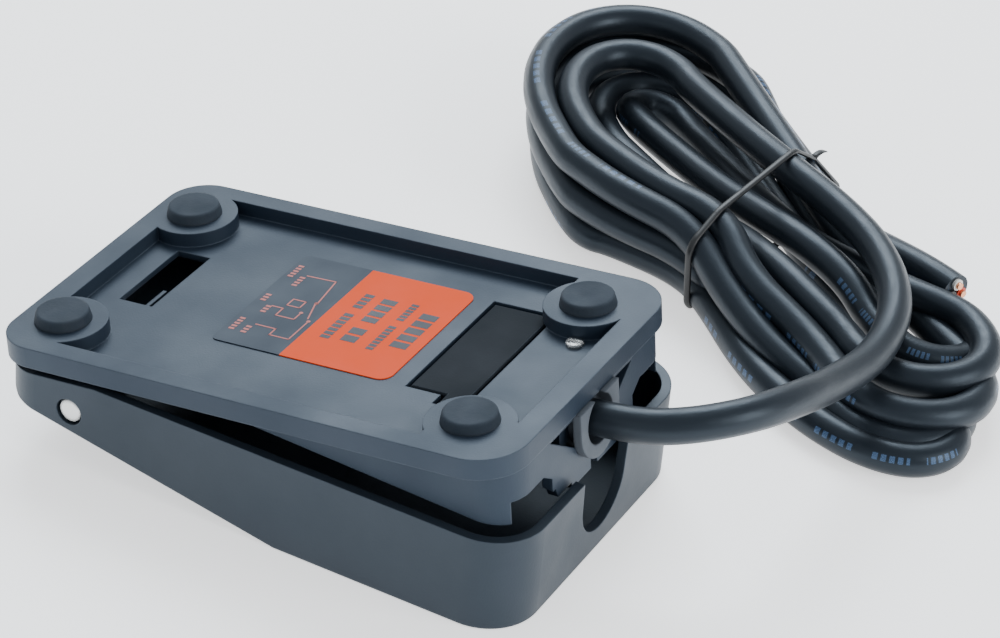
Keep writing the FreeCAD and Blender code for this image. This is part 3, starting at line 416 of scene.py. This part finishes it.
TIE_PLACE, TIE_TURN = (3.8, 0.9, 0.0), math.radians(29.0)
TIE_WIDE, TIE_THICK = 1.5, 0.9
# half the width in which strands are looked for, millimetres; points round one strand,
# round the whole tie and round the strap's own section; steps along its free end
TIE_SEARCH = 40
STRAND_POINTS, TIE_POINTS, STRAP_POINTS, TAIL_STEPS = 24, 160, 10, 8


def hull_of(points):
    """Convex outline of flat points, anticlockwise."""
    points = sorted(points)

    def chain(items):
        line = []
        for p in items:
            while len(line) > 1 and ((line[-1][0] - line[-2][0]) * (p[1] - line[-2][1])
                                     <= (line[-1][1] - line[-2][1]) * (p[0] - line[-2][0])):
                line.pop()
            line.append(p)
        return line[:-1]

    return chain(points) + chain(points[::-1])


def tie_outline(line, across, place, gap):
    """Outline that a strap pulled tight round the strands takes, in its own plane."""
    normal = Vector((0, 0, 1)).cross(across)
    corners = []
    for a, b in zip(line, line[1:]):
        da, db = (a - place).dot(normal), (b - place).dot(normal)
        if da * db < 0:
            hit = a.lerp(b, da / (da - db)) - place
            if abs(hit.dot(across)) < TIE_SEARCH * MM:
                lean = abs((b - a).normalized().dot(normal))
                for step in range(STRAND_POINTS):
                    angle = 2 * math.pi * step / STRAND_POINTS
                    corners.append((hit.dot(across) + gap * math.cos(angle) / lean,
                                    max(hit.z + gap * math.sin(angle), TIE_THICK / 2 * MM)))
    return hull_of(corners)


def smooth_loop(outline, count):
    """The outline at even steps, so that its corners round off a little."""
    sizes = [math.dist(a, b) for a, b in zip(outline, outline[1:] + outline[:1])]
    total, points, index, walked = sum(sizes), [], 0, 0.0
    for step in range(count):
        goal = total * step / count
        while walked + sizes[index] < goal:
            walked += sizes[index]
            index += 1
        a, b = outline[index], outline[(index + 1) % len(outline)]
        share = (goal - walked) / sizes[index]
        points.append((a[0] + (b[0] - a[0]) * share, a[1] + (b[1] - a[1]) * share))
    return points


def strap_ring(mesh, place, across, y, z, out, share=1.0):
    """One cross-section of the strap, an oval standing on the strap's own line."""
    normal = Vector((0, 0, 1)).cross(across)
    ring = []
    for step in range(STRAP_POINTS):
        angle = 2 * math.pi * step / STRAP_POINTS
        side = TIE_WIDE / 2 * MM * math.cos(angle) * share
        lift = TIE_THICK / 2 * MM * math.sin(angle) * share
        ring.append(mesh.verts.new(place + across * (y + out.x * lift)
                                   + Vector((0, 0, z + out.y * lift)) + normal * side))
    return ring


def join_rings(mesh, ring, other):
    for k in range(STRAP_POINTS):
        after = (k + 1) % STRAP_POINTS
        mesh.faces.new((ring[k], ring[after], other[after], other[k]))


def add_tie(cord):
    across = Matrix.Rotation(HANK_TURN + TIE_TURN, 3, "Z") @ Vector((0, 1, 0))
    place = from_hank(*TIE_PLACE)
    gap = (CORD_RADIUS + TIE_THICK / 2) * MM
    loop = smooth_loop(tie_outline(line_of(cord), across, place, gap), TIE_POINTS)
    mesh = bmesh.new()
    rings = []
    for i, (y, z) in enumerate(loop):
        (y0, z0), (y1, z1) = loop[i - 1], loop[(i + 1) % len(loop)]
        rings.append(strap_ring(mesh, place, across, y, z,
                                Vector((z1 - z0, y0 - y1)).normalized()))
    for ring, other in zip(rings, rings[1:] + rings[:1]):
        join_rings(mesh, ring, other)
    add_tie_tail(mesh, place, across, max(loop, key=lambda p: p[0] + 1.2 * p[1]))
    return finish_mesh("tie", mesh, smooth=True)


def add_tie_tail(mesh, place, across, start):
    """The twisted end of the tie stands off at the far top of the hank."""
    rings = []
    for step in range(TAIL_STEPS + 1):
        share = step / TAIL_STEPS
        y = start[0] + (5.0 * share - 0.5) * MM
        z = start[1] + (0.4 + 1.8 * share - 2.4 * share * share) * MM
        twist = 2.6 * share
        out = Vector((math.sin(twist), math.cos(twist)))
        rings.append(strap_ring(mesh, place, across, y, z, out,
                                1.0 if step < TAIL_STEPS else 0.45))
    for ring, other in zip(rings, rings[1:]):
        join_rings(mesh, ring, other)
    mesh.faces.new(rings[0])
    mesh.faces.new(rings[-1])


def finish_mesh(name, mesh, smooth=False):
    bmesh.ops.recalc_face_normals(mesh, faces=mesh.faces)
    data = bpy.data.meshes.new(name)
    mesh.to_mesh(data)
    mesh.free()
    for polygon in data.polygons:
        polygon.use_smooth = smooth
    return link(name, data)


# ---------------------------------------------------------------- print on the labels

RECESS_DEEP, LABEL_THICK, INK_THICK = 2.8, 0.2, 0.03
INK_TOP = LABEL_THICK + INK_THICK - RECESS_DEEP


def flat_patch(mesh, corners):
    """A flat patch of ink on top of a label; corners in plate millimetres."""
    mesh.faces.new([mesh.verts.new(plate(x, y, INK_TOP)) for x, y in corners])


def bar(mesh, x0, y0, x1, y1):
    flat_patch(mesh, ((x0, y0), (x1, y0), (x1, y1), (x0, y1)))


# rows of the rating label: x of the middle, height of the row, lengths of its words;
# then the y that rows are centred on, the gap between words, a letter's width for its
# row's height, and the inked share of a letter's step
LABEL_ROWS = [(13.6, 3.4, (13.0,)), (9.3, 1.5, (6.4, 9.0)), (4.4, 3.0, (9.0, 5.5)),
              (0.0, 1.9, (5.5, 9.5))]
LABEL_MIDDLE, WORD_GAP, LETTER_WIDE, LETTER_INK = 3.8, 1.9, 0.75, 0.78


def add_label_print():
    """Rows of plain bars in place of wording."""
    mesh = bmesh.new()
    for x, high, words in LABEL_ROWS:
        y = LABEL_MIDDLE + (sum(words) + WORD_GAP * (len(words) - 1)) / 2
        for word in words:
            count = max(2, round(word / (high * LETTER_WIDE)))
            step = word / count
            for i in range(count):
                bar(mesh, x - high / 2, y - step * (i + LETTER_INK),
                    x + high / 2, y - step * i)
            y -= word + WORD_GAP
    return finish_mesh("label_print", mesh)


def ink_line(mesh, points, half=0.15):
    """A thin printed line through points of the labels' plane."""
    for (x0, y0), (x1, y1) in zip(points, points[1:]):
        long = math.hypot(x1 - x0, y1 - y0)
        dx, dy = (x1 - x0) / long * half, (y1 - y0) / long * half
        flat_patch(mesh, ((x0 - dx - dy, y0 - dy + dx), (x0 - dx + dy, y0 - dy - dx),
                          (x1 + dx + dy, y1 + dy - dx), (x1 + dx - dy, y1 + dy + dx)))


# a change-over contact: leads of the common, the open and the closed side
WIRING_LINES = [[(-14.1, 13.5), (-8.2, 13.7), (-7.2, 5.4)], [(-7.6, 5.6), (-6.0, 0.2)],
                [(-14.3, 1.6), (-12.0, 1.6), (-12.0, -1.0), (-8.2, -1.0), (-8.2, 1.2)],
                [(-12.0, 2.9), (-9.4, 2.9), (-9.4, 5.2), (-12.0, 5.2), (-12.0, 2.9)],
                [(-13.5, -5.2), (-9.4, -5.2), (-9.4, -7.4), (-5.4, -7.4), (-5.4, -1.0)]]
# marks in place of the names of the leads: x, first y, number of marks
WIRING_WORDS = [(-17.0, 12.0, 5), (-14.6, 9.4, 4), (-17.0, 2.6, 3), (-14.8, -1.0, 3),
                (-16.8, -8.4, 5), (-14.2, -8.6, 3)]
MARK_HIGH, MARK_WIDE, MARK_PITCH = 1.1, 0.55, 0.95
# dots where the contact's lines meet
WIRING_DOTS, DOT_RADIUS, DOT_POINTS = ((-7.4, 5.5), (-8.2, 1.5), (-5.4, -0.6)), 0.4, 10


def add_wiring_print():
    mesh = bmesh.new()
    for line in WIRING_LINES:
        ink_line(mesh, line)
    for x, y, count in WIRING_WORDS:
        for i in range(count):
            start = y + i * MARK_PITCH
            bar(mesh, x - MARK_HIGH / 2, start, x + MARK_HIGH / 2, start + MARK_WIDE)
    for x, y in WIRING_DOTS:
        angles = [2 * math.pi * k / DOT_POINTS for k in range(DOT_POINTS)]
        flat_patch(mesh, [(x + DOT_RADIUS * math.cos(a), y + DOT_RADIUS * math.sin(a))
                          for a in angles])
    return finish_mesh("wiring_print", mesh)


# ---------------------------------------------------------------- build

def dress(node, material):
    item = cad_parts[node]
    item.data.materials.clear()
    item.data.materials.append(material)


def fit(piece, material, instead=()):
    """Give a piece its look; it rides on the base and may stand for CAD nodes."""
    piece.data.materials.append(material)
    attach(piece, "base")
    if instead:
        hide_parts(*instead)
    return piece


def dress_all():
    housing = moulding("housing", (0.012, 0.019, 0.031), 0.42, 0.60)
    tread = moulding("tread", (0.012, 0.017, 0.024), 0.40, 0.56)
    dark = moulding("dark_moulding", (0.008, 0.010, 0.013), 0.62, 0.80, 0.12)
    foot = rubber("foot_rubber", (0.017, 0.024, 0.034))
    bushing = rubber("bushing", (0.085, 0.095, 0.11))
    zinc = metal("zinc", (0.52, 0.53, 0.54), 0.38)
    # the wide rounding spreads the painted edge highlight over the hinge pin's flat end, so
    # that it looks domed
    steel = metal("steel", (0.70, 0.70, 0.69), 0.18, 1.3)
    brass = metal("brass", (0.72, 0.52, 0.25), 0.35)
    copper = metal("copper", (0.80, 0.38, 0.22), 0.35)
    white = insulation("core_white", (0.80, 0.79, 0.75))
    red = insulation("core_red", (0.55, 0.06, 0.03))
    black = insulation("core_black", (0.012, 0.012, 0.013))
    sleeve = insulation("cord_tail", (0.020, 0.0215, 0.026), 0.42)
    looks = {
        housing: ["base_housing"], tread: ["pedal_cover", "switch_plunger"],
        dark: ["access_cover", "cable_clamp", "switch_case", "switch_cover"],
        foot: ["foot_hinge_near", "foot_hinge_far", "foot_cord_near", "foot_cord_far"],
        bushing: ["cable_bushing"], steel: ["hinge_pin", "clamp_screw"],
        zinc: ["switch_bolts", "switch_nuts", "switch_bracket", "bracket_screws",
               "switch_lever", "return_spring"],
        brass: ["terminal_common", "terminal_open", "terminal_closed"],
        copper: ["core_copper"], white: ["core_white", "wire_white"],
        red: ["core_red", "wire_red"], black: ["core_black", "wire_black"],
        sleeve: ["cord_tail"],
        film("rating_film", (0.80, 0.075, 0.010), 0.60, 0.04, 0.12): ["rating_label"],
        film("wiring_film", (0.012, 0.019, 0.031), 0.50, 0.08): ["wiring_label"]}
    for material, nodes in looks.items():
        for node in nodes:
            dress(node, material)


add_camera()
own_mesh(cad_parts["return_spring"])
cord = nurbs_curve("cord", cord_route(), CORD_RADIUS * MM)
fit(cord, jacket(), instead=("cord_lead", "cord_hank", "cord_end"))
tie = fit(add_tie(cord), insulation("tie", (0.008, 0.009, 0.010), 0.45),
          instead=("cable_tie",))
add_studio()
dress_all()
fit(add_label_print(), film("label_ink", (0.025, 0.02, 0.02), 0.45))
fit(add_wiring_print(), film("wiring_ink", (0.50, 0.13, 0.10), 0.5))
